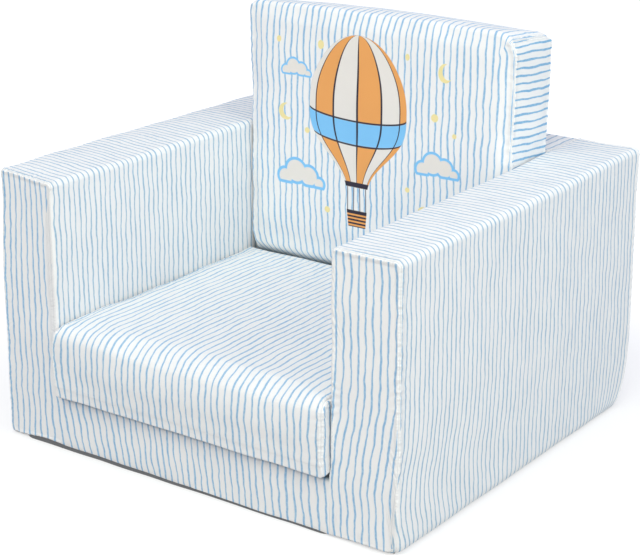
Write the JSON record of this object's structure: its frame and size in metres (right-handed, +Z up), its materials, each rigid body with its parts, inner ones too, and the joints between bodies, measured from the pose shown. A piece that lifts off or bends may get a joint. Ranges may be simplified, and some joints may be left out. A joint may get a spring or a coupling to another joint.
{
  "type": "kids armchair",
  "caption": "Child's foam armchair in a removable striped cover, with a seat cushion that flips forward onto the floor to make a lounger.",
  "frame": {"origin": "centre of the chair's outline on the floor", "axes": "+X to the right as seen from the front, +Y to the rear, +Z up; the sitter faces -Y"},
  "size_m": [0.5196, 0.4937, 0.4399],
  "materials": {
    "foam": "open-cell foam",
    "striped_cover": "brushed woven polyester, blue wavy stripes",
    "front_cover": "brushed woven polyester, blue wavy stripes",
    "printed_cover": "brushed woven polyester, stripes and a printed motif",
    "lining": "plain lining cloth",
    "underside": "non-slip dotted cloth",
    "woven_tape": "woven tape",
    "zip_teeth": "moulded",
    "zip_slider": "white enamel"
  },
  "bodies": {
    "chair": {"arm_foam_left": "foam", "arm_foam_right": "foam", "rear_foam": "foam", "base_foam": "foam", "riser_foam": "foam", "back_foam": "foam", "arm_wrap_left": "striped_cover", "arm_wrap_right": "striped_cover", "arm_front_left": "front_cover", "arm_front_right": "front_cover", "arm_rear_left": "striped_cover", "arm_rear_right": "striped_cover", "rear_wrap": "striped_cover", "rear_skirt": "striped_cover", "base_front_panel": "front_cover", "base_lining": "lining", "hinge_tape": "woven_tape", "bottom_sheet": "underside", "back_wrap": "printed_cover", "back_side_left": "striped_cover", "back_side_right": "striped_cover", "rear_zip_tape": "woven_tape", "rear_zip_chain": "zip_teeth"},
    "seat": {"seat_foam": "foam", "seat_wrap": "striped_cover", "seat_side_left": "striped_cover", "seat_side_right": "striped_cover", "seat_bottom": "lining", "seat_zip_tape": "woven_tape", "seat_zip_chain": "zip_teeth"},
    "rear_slider": {"rear_zip_slider": "zip_slider"},
    "seat_slider": {"seat_zip_slider": "zip_slider"}
  },
  "joints": [
    {"name": "seat_flip", "type": "hinge", "parent": "chair", "child": "seat", "pos_m": [0, -0.2473, 0.07495], "axis": [1, 0, 0], "range_deg": [0, 180]},
    {"name": "rear_zip_run", "type": "slide", "parent": "chair", "child": "rear_slider", "axis": [1, 0, 0], "range_m": [0, 0.3]},
    {"name": "seat_zip_run", "type": "slide", "parent": "seat", "child": "seat_slider", "axis": [1, 0, 0], "range_m": [0, 0.3]}
  ]
}
